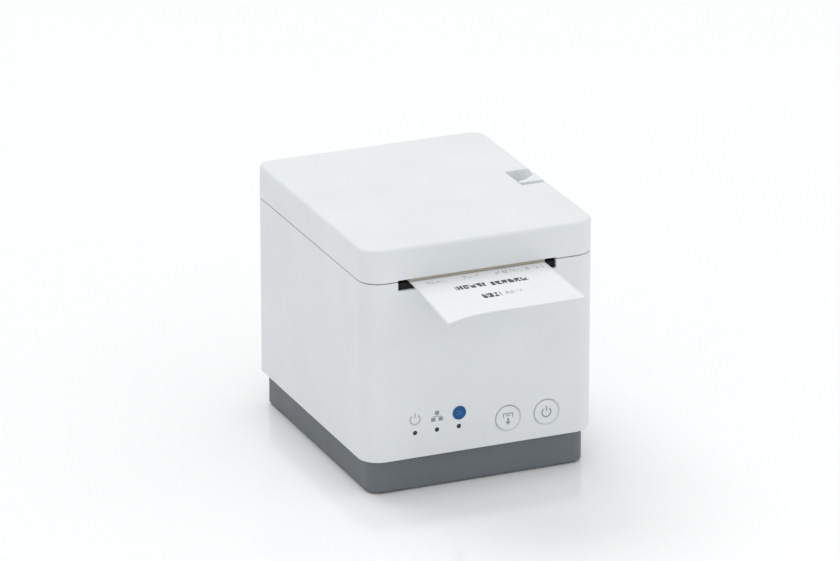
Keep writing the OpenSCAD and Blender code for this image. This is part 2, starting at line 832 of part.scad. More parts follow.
module moving_blade() {
    middle = (blade_l + blade_r) / 2;
    color([0.75, 0.77, 0.79]) {
        frontward(0, blade_y + blade_t, 0) linear_extrude(blade_t) polygon([
            [blade_l, rack_low],
            [blade_l + rack_w, rack_low],
            [blade_l + rack_w, blade_low],
            [blade_r, blade_low],
            [blade_r, blade_top],
            [middle, blade_top - blade_v],
            [blade_l, blade_top]
        ]);
        rack();
    }
}

module paper_guide() {
    color([0.12, 0.12, 0.13]) difference() {
        block(frame_l + snug, frame_r - snug, blade_y + blade_t + air, platen_y - platen_r - air,
            paper_z - 6, paper_z - 0.3);
        block(frame_l - past, frame_r + past, platen_y - platen_r - 2.5, platen_y,
            paper_z - 7, paper_z - 3);
        block(paper_x - 3, paper_x + 3, blade_y + 4, blade_y + 7.2, paper_z - 2.5, paper_z);
    }
}

module paper_sensor() {
    color([0.05, 0.05, 0.06])
        block(paper_x - 2.9, paper_x + 2.9, blade_y + 4.1, blade_y + 7.1, paper_z - 2.5, paper_z - 0.4);
}

module exit_guide() {
    color([0.1, 0.1, 0.11]) {
        block(frame_l + snug, frame_r - snug, frame_front + 0.1, blade_y - air, paper_z - 8, paper_z - 0.3);
        block(slot_x - slot_w / 2 + 0.1, slot_x + slot_w / 2 - 0.1, in_front_y - 1, frame_front + 0.2,
            body_top - slot_h + 0.1, paper_z - 0.3);
    }
}

module paper_web() {
    span = [platen_y - roll_y, paper_z - roll_z];
    r = roll_r + 0.15;
    off = atan2(span[1], span[0]) - acos(r / norm(span));
    start = [roll_y + r * cos(off), roll_z + r * sin(off)];
    color([0.96, 0.96, 0.97]) across(paper_l) linear_extrude(paper_w) polygon([
        [web_end_y, paper_z],
        [platen_y, paper_z],
        start,
        start + [0, paper_t],
        [platen_y, paper_z + paper_t],
        [web_end_y, paper_z + paper_t]
    ]);
}

// The receipt leaves the slot level and droops on a parabola
module receipt() {
    steps = 16;
    function drop(s) = receipt_drop * s * s;
    under = [for (i = [0 : steps]) let (s = i / steps) [front_y - s * receipt_out, paper_z - drop(s)]];
    over = [for (i = [steps : -1 : 0]) under[i] + [0, paper_t]];
    color([0.96, 0.96, 0.97]) across(paper_l) linear_extrude(paper_w) polygon(concat(
        [[receipt_start_y, paper_z]], under, over, [[receipt_start_y, paper_z + paper_t]]
    ));
}

// ---------- paper roll ----------

module paper_roll() {
    color([0.95, 0.95, 0.96]) difference() {
        rod_x(paper_l, paper_l + paper_w, roll_y, roll_z, roll_r);
        rod_x(paper_l - past, paper_l + paper_w + past, roll_y, roll_z, core_r);
    }
}

module roll_core() {
    color([0.72, 0.62, 0.48]) difference() {
        rod_x(paper_l, paper_l + paper_w, roll_y, roll_z, core_r);
        rod_x(paper_l - past, paper_l + paper_w + past, roll_y, roll_z, core_bore_r);
    }
}

// ---------- lid ----------

// Solid outside of the lid, with its lower rear edge rounded about the hinge
module lid_solid() {
    difference() {
        union() {
            slab(lid_z, body_h - crown_r, 0);
            translate([0, 0, body_h - crown_r]) crown();
        }
        difference() {
            block(-body_w, body_w, hinge_y, rear_y + past, lid_z - past, hinge_z);
            rod_x(-body_w - past, body_w + past, hinge_y, hinge_z, hinge_round);
        }
    }
}

module lever_notch(grow) {
    block(notch_x - grow, body_w, notch_y - grow, notch_y + notch_l + grow, notch_low - grow, body_h + past);
}

module at_lid_screws() {
    for (x = lid_screw_x, y = lid_screw_y)
        translate([x, y, 0]) children();
}

module lid_shell() {
    barrel_l = body_w / 2 - wall;
    color([0.95, 0.96, 0.96]) difference() {
        union() {
            difference() {
                lid_solid();
                slab(lid_z - past, lid_in_top, wall);
            }
            intersection() {
                lid_solid();
                difference() {
                    block(-barrel_l - snug, barrel_l + snug, hinge_y, rear_y, lid_z, hinge_z + 0.5);
                    rod_x(-body_w, body_w, hinge_y, hinge_z, hinge_round - wall);
                    block(-body_w, body_w, hinge_y - past, hinge_y + hinge_round - wall,
                        hinge_z, hinge_z + past);
                }
            }
            intersection() {
                lid_solid();
                lever_notch(pocket_t);
            }
            at_lid_screws()
                translate([0, 0, lid_plate_z + lid_plate_t])
                    cylinder(r = lid_post_r, h = lid_in_top - lid_plate_z);
        }
        lever_notch(0);
        block(arm_x - 0.5, arm_x + arm_w + 0.5, latch_y - 5.7, latch_y + 2,
            lid_z - past, notch_low + past);
        at_lid_screws()
            translate([0, 0, lid_plate_z]) cylinder(r = small_screw_r + snug, h = lid_screw_l + 0.4);
        for (s = [-1, 1])
            block(s * knuckle_x - knuckle_w / 2 - knuckle_gap, s * knuckle_x + knuckle_w / 2 + knuckle_gap,
                hinge_y - past, rear_y + past, lid_z - past, hinge_z - 0.2);
        block(slot_x - slot_w / 2, slot_x + slot_w / 2, front_y - past, in_front_y + past,
            lid_z - past, lid_z + 0.4);
    }
}

module lid_lug(x, y, z, z_top, r) {
    block(x, x + lug_t, y - r, y + r, z, z_top);
    rod_x(x, x + lug_t, y, z, r);
}

module lid_frame() {
    inset = wall + 0.3;
    plate_top = lid_plate_z + lid_plate_t;
    blade_mount_y = blade_y - 1.1;
    shaft_lugs = [hook_l + hook_t + 0.5, hook_r - 0.5 - lug_t, hook_r + hook_t + 0.5];
    color([0.5, 0.52, 0.52]) difference() {
        union() {
            difference() {
                slab(lid_plate_z, plate_top, inset);
                block(-body_w, body_w, hinge_y - knuckle_r - 1, rear_y, lid_plate_z - past, body_h);
                lever_notch(pocket_t + 0.2);
            }
            for (x = shaft_lugs)
                lid_lug(x, latch_y, latch_z, lid_plate_z + past, latch_r + 1.6);
            for (s = [-1, 1])
                lid_lug(s * (knuckle_x - knuckle_w) - lug_t / 2, hinge_y, hinge_z, lid_plate_z + past,
                    knuckle_r);
            for (s = [-1, 1])
                block(s * (knuckle_x - knuckle_w) - lug_t / 2, s * (knuckle_x - knuckle_w) + lug_t / 2,
                    hinge_y - knuckle_r - 4, hinge_y + knuckle_r, lid_plate_z, plate_top);
            block(blade_l, blade_r, in_front_y + 0.5, blade_mount_y, lid_z + 1, lid_plate_z + snug);
            for (x = guide_x)
                translate([x, guide_y, head_z + head_t + head_travel])
                    cylinder(r = guide_r, h = lid_plate_z - head_z - head_t - head_travel + snug);
        }
        for (x = shaft_lugs)
            rod_x(x - past, x + lug_t + past, latch_y, latch_z, latch_r + fit);
        for (s = [-1, 1])
            rod_x(s * (knuckle_x - knuckle_w) - 3, s * (knuckle_x - knuckle_w) + 3, hinge_y, hinge_z,
                rod_r + snug);
        at_lid_screws() translate([0, 0, lid_plate_z - past])
            cylinder(r = small_screw_r + shank_gap, h = lid_plate_t + 2 * past);
    }
}

module lid_screws() {
    color("silver") at_lid_screws()
        translate([0, 0, lid_plate_z - small_head_h]) mirror([0, 0, 1])
            screw(small_screw_r, small_head_r, small_head_h, lid_screw_l);
}

module fixed_blade() {
    low = paper_z + paper_t + 0.2;
    color([0.75, 0.77, 0.79])
        block(blade_l, blade_r, blade_y - 1.1, blade_y - 0.1, low, low + 4.5);
}

module hinge_rod() {
    half = knuckle_x + knuckle_w / 2 + 1.5;
    color("silver") rod_x(-half, half, hinge_y, hinge_z, rod_r);
}

module head_springs() {
    seat = spring_wire / 2 + 0.05;
    z0 = head_z + head_t + sink_t + seat;
    color("silver") for (x = head_spring_x)
        translate([x, spring_y, z0]) coil(spring_r, spring_wire, 4, lid_plate_z - z0 - seat);
}

module lever_spring() {
    color("silver")
        translate([arm_x - 6, latch_y, latch_z]) rotate([0, 90, 0]) coil(lever_spring_r, spring_wire, 5, 4);
}

module head_heat_sink() {
    z0 = head_z + head_t;
    y0 = head_y - 0.5;
    x0 = paper_l - sink_over;
    x1 = paper_l + paper_w + sink_over;
    slot_l = 7;
    pitch = 3.6;
    slots = round((paper_w - 15) / pitch);
    first = paper_x - (slots - 1) * pitch / 2;
    color([0.7, 0.72, 0.74]) difference() {
        block(x0, x1, y0, y0 + sink_d, z0, z0 + sink_t);
        for (x = guide_x)
            translate([x, guide_y, z0 - past]) cylinder(r = guide_r + 0.08, h = sink_t + 2 * past);
        for (i = [0 : slots - 1])
            block(first + i * pitch - 0.8, first + i * pitch + 0.8, y0 + sink_d - slot_l, y0 + sink_d + past,
                z0 + 1, z0 + sink_t + past);
    }
}

module thermal_head() {
    color([0.86, 0.84, 0.76])
        block(paper_l - 0.5, paper_l + paper_w + 0.5, head_y, head_y + head_d, head_z, head_z + head_t);
}

// ---------- lid latch ----------

module latch_shaft() {
    color("silver")
        rod_x(hook_l - 0.6, arm_x + arm_w + 0.6, latch_y, latch_z, latch_r);
}

module latch_hooks() {
    hub = latch_r + 1.5;
    back_y = catch_r + catch_y - latch_y + air;
    low = catch_z - catch_r - latch_z;
    color([0.3, 0.32, 0.33])
        for (x = [hook_l, hook_r])
            difference() {
                union() {
                    rod_x(x, x + hook_t, latch_y, latch_z, hub);
                    across(x, latch_y, latch_z) linear_extrude(hook_t) polygon([
                        [back_y, 0],
                        [back_y, low],
                        [back_y - 0.1, low - 1.2],
                        [back_y + 1, low - 1.8],
                        [back_y + 2.6, low - 1.2],
                        [hub - 0.1, 0]
                    ]);
                }
                rod_x(x - past, x + hook_t + past, latch_y, latch_z, latch_r);
            }
}

module cover_open_lever() {
    x0 = notch_x + lever_gap;
    y0 = notch_y + lever_front_gap;
    y1 = y0 + lever_l;
    hub = latch_r + 1.4;
    color([0.95, 0.96, 0.96]) difference() {
        union() {
            intersection() {
                lid_solid();
                union() {
                    difference() {
                        block(x0, body_w, y0, y1, lid_in_top, body_h + past);
                        translate([notch_x - 1.7, latch_y + 9.7, lid_in_top - past])
                            cylinder(r = scoop_r, h = wall + 3 * past);
                    }
                    block(body_w / 2 - wall, body_w, y0, y1, notch_low + skirt_up, body_h + past);
                }
            }
            block(arm_x, arm_x + arm_w, latch_y - arm_d / 2 - 1, latch_y + arm_d / 2 - 1,
                latch_z, lid_in_top + past);
            rod_x(arm_x, arm_x + arm_w, latch_y, latch_z, hub);
        }
        rod_x(arm_x - past, arm_x + arm_w + past, latch_y, latch_z, latch_r);
    }
}

// ---------- controls ----------

module button(x) {
    color([0.93, 0.94, 0.94]) {
        rod_y(x, control_z, front_y + 0.1, in_front_y + flange_gap + 0.1, button_r);
        rod_y(x, control_z, in_front_y + flange_gap, in_front_y + flange_gap + button_flange,
            recess_r + 0.7);
        rod_y(x, control_z, in_front_y + flange_gap + button_flange - 0.1,
            front_board_y - switch_h + 1, stem_r);
    }
}

module feed_button() {
    button(button_x[0]);
}

module power_button() {
    button(button_x[1]);
}

module tact_switches() {
    depth = 1 + button_travel + air;
    color([0.13, 0.13, 0.14])
        for (x = button_x)
            difference() {
                block(x - switch_w / 2, x + switch_w / 2, front_board_y - switch_h, front_board_y,
                    control_z - switch_w / 2, control_z + switch_w / 2);
                rod_y(x, control_z, front_board_y - switch_h - past, front_board_y - switch_h + depth,
                    stem_r + 0.08);
            }
}

module front_board() {
    color([0.1, 0.35, 0.2]) difference() {
        block(-36, 40, front_board_y, front_board_y + front_board_t, control_z - 7, control_z + 9.5);
        at_front_posts() translate([0, 0, -front_board_t - past])
            cylinder(r = small_screw_r + shank_gap, h = front_board_t + 2 * past);
    }
}

module front_board_screws() {
    color("silver") at_front_posts() translate([0, 0, -front_board_t - small_head_h])
        mirror([0, 0, 1]) screw(small_screw_r, small_head_r, small_head_h, front_screw_l);
}

module status_lamps() {
    color([0.9, 0.92, 0.85])
        for (x = lamp_x)
            block(x - 1, x + 1, front_board_y - 0.8, front_board_y, control_z - 0.6, control_z + 0.6);
}

module light_pipes() {
    color([0.2, 0.21, 0.21])
        for (x = lamp_x) {
            rod_y(x, control_z, front_y + 0.05, in_front_y, pipe_r);
            rod_y(x, control_z, in_front_y, in_front_y + 0.7, pipe_r + 0.7);
            rod_y(x, control_z, in_front_y + 0.7, front_board_y - 1, pipe_r);
        }
}

// ---------- electronics ----------

module at_board_screws() {
    for (x = [-standoff_x, standoff_x], y = standoff_y)
        translate([x, y, 0]) children();
}

module main_board() {
    color([0.1, 0.35, 0.2]) difference() {
        block(-board_w / 2, board_w / 2, board_front, board_rear, board_z, board_top);
        at_board_screws() translate([0, 0, board_z - past])
            cylinder(r = small_screw_r + shank_gap, h = board_t + 2 * past);
    }
}

module board_screws() {
    color("silver") at_board_screws()
        translate([0, 0, board_top + small_head_h])
            screw(small_screw_r, small_head_r, small_head_h, board_screw_l);
}

module socket_body(x, w, h, d) {
    block(x - w / 2, x + w / 2, socket_face - d, socket_face, board_top, board_top + h);
}

module power_inlet() {
    z = board_top + 6.5;
    color([0.12, 0.12, 0.13]) {
        difference() {
            socket_body(inlet_x, 14, 13, 14);
            rod_y(inlet_x, z, socket_face - 10, socket_face + past, 4.6);
        }
        for (a = [0, 120, 240])
            rod_y(inlet_x + 2.4 * sin(a), z + 2.4 * cos(a), socket_face - 10.1, socket_face - 3, 0.5);
    }
}

module modular_socket(x, w, h, d, mouth_w, mouth_h) {
    z = board_top + (h - mouth_h) / 2 - 0.6;
    difference() {
        socket_body(x, w, h, d);
        block(x - mouth_w / 2, x + mouth_w / 2, socket_face - d + 3, socket_face + past, z, z + mouth_h);
        block(x - mouth_w / 4, x + mouth_w / 4, socket_face - d + 3, socket_face + past,
            z + mouth_h - past, z + mouth_h + 1.4);
    }
}

module drawer_socket() {
    color([0.12, 0.12, 0.13]) modular_socket(drawer_x, 13, 12, 16, 9.8, 6.8);
}

module lan_socket() {
    color([0.68, 0.7, 0.72]) modular_socket(lan_x, 16, 13.5, 18, 11.8, 7.4);
}

module usb_socket() {
    z = board_top + 1.4;
    h = 7.9;
    color([0.72, 0.74, 0.76]) {
        difference() {
            socket_body(usb_x, 12, 11, 16);
            block(usb_x - 4.25, usb_x + 4.25, socket_face - 11, socket_face + past, z, z + h - 1.5);
            frontward(usb_x, socket_face + past, 0) linear_extrude(12) polygon([
                [-4.25, z + h - 1.6],
                [4.25, z + h - 1.6],
                [2.8, z + h],
                [-2.8, z + h]
            ]);
        }
        block(usb_x - 2.8, usb_x + 2.8, socket_face - 11.1, socket_face - 2, z + 2.6, z + 5.2);
    }
}

module capacitors() {
    color([0.15, 0.17, 0.25])
        for (y = capacitor_y)
            translate([capacitor_x, y, board_top]) cylinder(r = capacitor_r, h = capacitor_h);
}

module controller_chips() {
    color([0.09, 0.09, 0.1])
        for (chip = chips)
            translate([chip[0], chip[1], board_top]) cube([chip[2], chip[2], chip[3]]);
}

module radio_module() {
    color([0.7, 0.71, 0.72])
        translate([radio[0], radio[1], board_top]) cube([radio[2], radio[3], radio[4]]);
}

base_tray();
rubber_feet();
body_shell();
case_screws();
roll_bucket();
deck_screws();
mechanism_frame();
platen_bushings();
paper_guide();
exit_guide();
paper_sensor();
feed_motor();
cutter_motor();
gear_posts();
catch_pins();
hinge_brackets();
paper_web();
receipt();
main_board();
board_screws();
power_inlet();
drawer_socket();
usb_socket();
lan_socket();
capacitors();
controller_chips();
radio_module();
front_board();
front_board_screws();
status_lamps();
light_pipes();
tact_switches();
round_badge();
lid_shell();
lid_frame();
lid_screws();
fixed_blade();
hinge_rod();
head_springs();
lever_spring();
head_heat_sink();
thermal_head();
latch_shaft();
cover_open_lever();
latch_hooks();
paper_roll();
roll_core();
platen_roller();
platen_shaft();
platen_gear();
reduction_gear();
feed_pinion();
moving_blade();
cutter_gear();
cutter_pinion();
feed_button();
power_button();
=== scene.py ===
"""A receipt printer on a pale glossy floor. Metres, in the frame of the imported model:
the front faces -Y, the right side is +X and the surface that it stands on is z = 0."""

import json
import math

import bmesh
import bpy
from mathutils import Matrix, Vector


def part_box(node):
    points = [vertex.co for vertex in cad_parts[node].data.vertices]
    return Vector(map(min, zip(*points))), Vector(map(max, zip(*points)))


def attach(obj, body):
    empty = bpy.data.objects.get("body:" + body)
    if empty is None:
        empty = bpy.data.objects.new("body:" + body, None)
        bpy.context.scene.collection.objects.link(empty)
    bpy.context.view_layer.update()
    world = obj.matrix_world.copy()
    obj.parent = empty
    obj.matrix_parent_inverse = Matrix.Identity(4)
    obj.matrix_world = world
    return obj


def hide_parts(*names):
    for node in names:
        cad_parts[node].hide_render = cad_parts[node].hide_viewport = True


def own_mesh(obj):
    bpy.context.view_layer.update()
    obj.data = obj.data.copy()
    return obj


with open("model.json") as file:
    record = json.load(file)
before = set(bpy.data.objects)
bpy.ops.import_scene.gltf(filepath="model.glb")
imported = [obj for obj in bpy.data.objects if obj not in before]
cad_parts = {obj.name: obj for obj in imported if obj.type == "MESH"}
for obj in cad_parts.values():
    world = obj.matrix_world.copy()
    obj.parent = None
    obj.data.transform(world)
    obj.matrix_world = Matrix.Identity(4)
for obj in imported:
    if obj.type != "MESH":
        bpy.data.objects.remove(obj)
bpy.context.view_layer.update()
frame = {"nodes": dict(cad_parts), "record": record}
MM = 0.001

# ---------- places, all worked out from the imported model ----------

BODY_LOW, BODY_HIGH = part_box("body_shell")
LID_LOW, LID_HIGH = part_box("lid_shell")
FRONT_Y = BODY_LOW.y
SEAM_Z = LID_LOW.z


def centre(node):
    low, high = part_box(node)
    return (low + high) / 2


# ---------- camera ----------

CAMERA_AZIMUTH = math.radians(-23.02)
CAMERA_ELEVATION = math.radians(20.66)
CAMERA_DISTANCE = 2.5315
CAMERA_LENS = 275.7
SENSOR_WIDTH = 36.0
AIM = Vector((-26.8 * MM, FRONT_Y, SEAM_Z - 0.7 * MM))


def add_camera():
    data = bpy.data.cameras.new("camera")
    data.lens = CAMERA_LENS
    data.sensor_width = SENSOR_WIDTH
    data.clip_start = 0.05
    data.clip_end = 40
    camera = bpy.data.objects.new("camera", data)
    bpy.context.scene.collection.objects.link(camera)
    back = Vector((
        math.sin(CAMERA_AZIMUTH) * math.cos(CAMERA_ELEVATION),
        -math.cos(CAMERA_AZIMUTH) * math.cos(CAMERA_ELEVATION),
        math.sin(CAMERA_ELEVATION),
    ))
    camera.location = AIM + back * CAMERA_DISTANCE
    camera.rotation_euler = (-back).to_track_quat("-Z", "Y").to_euler()
    bpy.context.scene.camera = camera


# ---------- materials ----------


class Nodes:
    """A material's node tree, with short calls to add and join nodes."""

    def __init__(self, name):
        self.material = bpy.data.materials.new(name)
        self.material.use_nodes = True
        self.tree = self.material.node_tree
        self.shader = self.tree.nodes["Principled BSDF"]

    def add(self, kind, **values):
        node = self.tree.nodes.new(kind)
        for key, value in values.items():
            if key in node.inputs:
                node.inputs[key].default_value = value
            else:
                setattr(node, key, value)
        return node

    def join(self, source, target):
        self.tree.links.new(source, target)

    def place(self, scale=1.0):
        """The point in the object's own metres, times a scale."""
        spot = self.add("ShaderNodeTexCoord")
        grow = self.add("ShaderNodeVectorMath", operation="SCALE")
        grow.inputs["Scale"].default_value = scale
        self.join(spot.outputs["Object"], grow.inputs[0])
        return grow.outputs["Vector"]

    def noise(self, per_metre, detail=3.0, roughness=0.55):
        node = self.add("ShaderNodeTexNoise", Scale=1.0, Detail=detail, Roughness=roughness)
        self.join(self.place(per_metre), node.inputs["Vector"])
        return node.outputs["Fac"]

    def ramp(self, factor, stops):
        node = self.add("ShaderNodeValToRGB")
        while len(node.color_ramp.elements) < len(stops):
            node.color_ramp.elements.new(0.5)
        for element, (place, colour) in zip(node.color_ramp.elements, stops):
            element.position = place
            element.color = (*colour, 1)
        self.join(factor, node.inputs["Fac"])
        return node.outputs["Color"]

    def span(self, factor, low, high):
        node = self.add("ShaderNodeMapRange")
        node.inputs["To Min"].default_value = low
        node.inputs["To Max"].default_value = high
        self.join(factor, node.inputs["Value"])
        return node.outputs["Result"]

    def math(self, operation, a, b=0.0):
        node = self.add("ShaderNodeMath", operation=operation)
        for socket, value in zip(node.inputs, (a, b)):
            if isinstance(value, (int, float)):
                socket.default_value = value
            else:
                self.join(value, socket)
        return node.outputs[0]

    def bump(self, height, strength, distance):
        node = self.add("ShaderNodeBump", Strength=strength, Distance=distance)
        self.join(height, node.inputs["Height"])
        self.join(node.outputs["Normal"], self.shader.inputs["Normal"])

    def set(self, **values):
        for key, value in values.items():
            self.shader.inputs[key.replace("_", " ")].default_value = value


def tint(colour, factor):
    return tuple(min(1.0, part * factor) for part in colour)


def moulded(name, colour, rough=0.5, grain=2600, depth=0.012, drift=0.02, coat=0.0):
    """Moulded plastic: fine spark-eroded grain and a slow drift of its colour."""
    n = Nodes(name)
    slow = n.noise(28, detail=2.0)
    base = n.ramp(slow, [(0.3, tint(colour, 1 - drift)), (0.7, tint(colour, 1 + drift))])
    n.join(base, n.shader.inputs["Base Color"])
    fine = n.noise(grain, detail=2.0)
    n.join(n.span(n.noise(90), rough - 0.05, rough + 0.05), n.shader.inputs["Roughness"])
    n.bump(fine, 0.35, depth * MM)
    n.set(IOR=1.49, Coat_Weight=coat, Coat_Roughness=0.3)
    return n.material


def rubber(name, colour):
    n = Nodes(name)
    n.join(n.ramp(n.noise(700), [(0.35, tint(colour, 0.8)), (0.65, tint(colour, 1.3))]),
           n.shader.inputs["Base Color"])
    n.join(n.span(n.noise(300), 0.68, 0.85), n.shader.inputs["Roughness"])
    n.bump(n.noise(3200), 0.4, 0.02 * MM)
    n.set(IOR=1.5, Sheen_Weight=0.15, Sheen_Roughness=0.5)
    return n.material


def metal(name, colour, rough=0.3, stretch=(1, 1, 1), grain=4000, dirt=0.12):
    """Metal with a directional brushed or turned grain along the short side of stretch."""
    n = Nodes(name)
    spot = n.add("ShaderNodeTexCoord")
    scaled = n.add("ShaderNodeVectorMath", operation="MULTIPLY")
    scaled.inputs[1].default_value = tuple(grain * part for part in stretch)
    n.join(spot.outputs["Object"], scaled.inputs[0])
    streak = n.add("ShaderNodeTexNoise", Scale=1.0, Detail=3.0, Roughness=0.6)
    n.join(scaled.outputs["Vector"], streak.inputs["Vector"])
    n.join(n.ramp(n.noise(120), [(0.3, tint(colour, 1 - dirt)), (0.7, tint(colour, 1.05))]),
           n.shader.inputs["Base Color"])
    n.join(n.span(streak.outputs["Fac"], rough - 0.08, rough + 0.12), n.shader.inputs["Roughness"])
    n.bump(streak.outputs["Fac"], 0.2, 0.008 * MM)
    n.set(Metallic=1.0)
    return n.material


def board_green(name):
    """Solder mask over copper traces, with a fine grid of plated holes."""
    n = Nodes(name)
    brick = n.add("ShaderNodeTexBrick", Scale=1.0, offset=0.5)
    brick.inputs["Mortar Size"].default_value = 0.06
    brick.inputs["Brick Width"].default_value = 3.1
    brick.inputs["Row Height"].default_value = 0.55
    brick.inputs["Color1"].default_value = (0.006, 0.075, 0.035, 1)
    brick.inputs["Color2"].default_value = (0.008, 0.09, 0.04, 1)
    brick.inputs["Mortar"].default_value = (0.02, 0.17, 0.08, 1)
    bend = n.noise(60, detail=0.0)
    moved = n.add("ShaderNodeVectorMath", operation="ADD")
    n.join(n.place(430), moved.inputs[0])
    n.join(bend, moved.inputs[1])
    n.join(moved.outputs["Vector"], brick.inputs["Vector"])
    holes = n.add("ShaderNodeTexVoronoi", Scale=1.0, Randomness=0.6)
    n.join(n.place(330), holes.inputs["Vector"])
    plated = n.ramp(holes.outputs["Distance"], [(0.10, (1, 1, 1)), (0.13, (0, 0, 0))])
    mix = n.add("ShaderNodeMix", data_type="RGBA")
    n.join(plated, mix.inputs["Factor"])
    n.join(brick.outputs["Color"], mix.inputs["A"])
    mix.inputs["B"].default_value = (0.55, 0.5, 0.36, 1)
    n.join(mix.outputs["Result"], n.shader.inputs["Base Color"])
    n.join(n.span(n.noise(200), 0.3, 0.45), n.shader.inputs["Roughness"])
    n.bump(brick.outputs["Fac"], 0.3, 0.02 * MM)
    return n.material


def wound_paper(name, colour, middle):
    """The end faces of a roll: tight rings about the roll's axis, with plain paper around it."""
    n = Nodes(name)
    spot = n.add("ShaderNodeTexCoord")
    off = n.add("ShaderNodeVectorMath", operation="SUBTRACT")
    off.inputs[1].default_value = middle
    n.join(spot.outputs["Object"], off.inputs[0])
    flat = n.add("ShaderNodeVectorMath", operation="MULTIPLY")
    flat.inputs[1].default_value = (0, 1, 1)
    n.join(off.outputs["Vector"], flat.inputs[0])
    far = n.add("ShaderNodeVectorMath", operation="LENGTH")
    n.join(flat.outputs["Vector"], far.inputs[0])
    turns = n.add("ShaderNodeTexNoise", Scale=9000.0, Detail=2.0, noise_dimensions="1D")
    n.join(far.outputs["Value"], turns.inputs["W"])
    n.join(n.ramp(turns.outputs["Fac"], [(0.35, tint(colour, 0.86)), (0.6, colour)]),
           n.shader.inputs["Base Color"])
    n.bump(turns.outputs["Fac"], 0.5, 0.03 * MM)
    n.set(Roughness=0.62)
    return n.material


def card(name, colour):
    n = Nodes(name)
    n.join(n.ramp(n.noise(900, detail=5), [(0.3, tint(colour, 0.75)), (0.7, tint(colour, 1.2))]),
           n.shader.inputs["Base Color"])
    n.bump(n.noise(1500), 0.4, 0.03 * MM)
    n.set(Roughness=0.85)
    return n.material


PAPER_WHITE = (0.83, 0.85, 0.86)
PAPER_INK = (0.03, 0.035, 0.035)


def plain_paper(name):
    """Thermal paper: a very smooth, faintly cloudy coated sheet."""
    n = Nodes(name)
    n.join(n.ramp(n.noise(260, detail=4), [(0.3, tint(PAPER_WHITE, 0.975)), (0.7, PAPER_WHITE)]),
           n.shader.inputs["Base Color"])
    n.bump(n.noise(1800), 0.25, 0.008 * MM)
    n.set(Roughness=0.5)
    return n.material


def between(n, value, low, high):
    """1 where low < value < high, else 0."""
    return n.math("MULTIPLY", n.math("GREATER_THAN", value, low), n.math("LESS_THAN", value, high))


def ink_cells(n, across, along, row):
    """A word or a line of marks: a generic pattern of small cells, grouped as glyphs, with no lettering."""
    left, right, near, far, cell, glyph, share = row
    wide = n.math("FLOOR", n.math("DIVIDE", across, cell * MM))
    deep = n.math("FLOOR", n.math("DIVIDE", n.math("SUBTRACT", along, near * MM), (far - near) * MM / 3.0))
    spot = n.add("ShaderNodeCombineXYZ")
    n.join(wide, spot.inputs["X"])
    n.join(deep, spot.inputs["Y"])
    spot.inputs["Z"].default_value = left
    chance = n.add("ShaderNodeTexWhiteNoise", noise_dimensions="3D")
    n.join(spot.outputs["Vector"], chance.inputs["Vector"])
    inked = n.math("LESS_THAN", chance.outputs["Value"], share)
    body = n.math("LESS_THAN", n.math("FRACT", n.math("DIVIDE", across, glyph * MM)), 0.84)
    in_width = between(n, across, left * MM, right * MM)
    box = n.math("MULTIPLY", in_width, between(n, along, near * MM, far * MM))
    return n.math("MULTIPLY", n.math("MULTIPLY", inked, body), box)


# Each row of print: left, right, nearest and farthest edge from the slot, cell width, glyph width (all mm)
# and the share of cells that are inked
BOLD_ROWS = [
    (-17.0, -4.1, 10.6, 14.2, 0.55, 2.7, 0.82),
    (-1.9, 13.7, 11.2, 14.8, 0.55, 2.7, 0.82),
    (-10.0, -2.2, 21.4, 25.4, 0.5, 2.6, 0.78),
]
LIGHT_ROWS = [(-0.8, 7.0, 22.1, 25.1, 0.5, 2.0, 0.42)]
FAINT_ROWS = [(-25.5, -17.0, 2.4, 4.8, 0.7, 2.6, 0.5), (-10.0, -3.0, 2.0, 4.6, 0.7, 2.6, 0.5),
              (4.0, 24.5, 1.8, 5.2, 0.8, 3.4, 0.45)]


def printed_paper(name):
    """The receipt: U runs across it and V along it from the slot, both in metres."""
    n = Nodes(name)
    spot = n.add("ShaderNodeUVMap", uv_map="print")
    parts = n.add("ShaderNodeSeparateXYZ")
    n.join(spot.outputs["UV"], parts.inputs[0])
    across, along = parts.outputs["X"], parts.outputs["Y"]
    ink = 0.0
    for rows, strength in ((BOLD_ROWS, 0.97), (LIGHT_ROWS, 0.55), (FAINT_ROWS, 0.36)):
        for row in rows:
            ink = n.math("ADD", ink, n.math("MULTIPLY", ink_cells(n, across, along, row), strength))
    sheet = n.ramp(n.noise(260, detail=4), [(0.3, tint(PAPER_WHITE, 0.975)), (0.7, PAPER_WHITE)])
    mix = n.add("ShaderNodeMix", data_type="RGBA")
    n.join(ink, mix.inputs["Factor"])
    n.join(sheet, mix.inputs["A"])
    mix.inputs["B"].default_value = (*PAPER_INK, 1)
    n.join(mix.outputs["Result"], n.shader.inputs["Base Color"])
    n.bump(n.noise(1800), 0.25, 0.008 * MM)
    n.set(Roughness=0.5)
    return n.material


def floor_gloss(name):
    """A pale, polished table top with faint smears."""
    n = Nodes(name)
    n.join(n.ramp(n.noise(3, detail=2), [(0.3, (0.965, 0.965, 0.965)), (0.7, (0.975, 0.975, 0.975))]),
           n.shader.inputs["Base Color"])
    n.join(n.span(n.noise(9, detail=4), 0.10, 0.15), n.shader.inputs["Roughness"])
    n.set(IOR=1.45)
    return n.material


WHITE = (0.776, 0.803, 0.813)
GREY = (0.14, 0.158, 0.172)

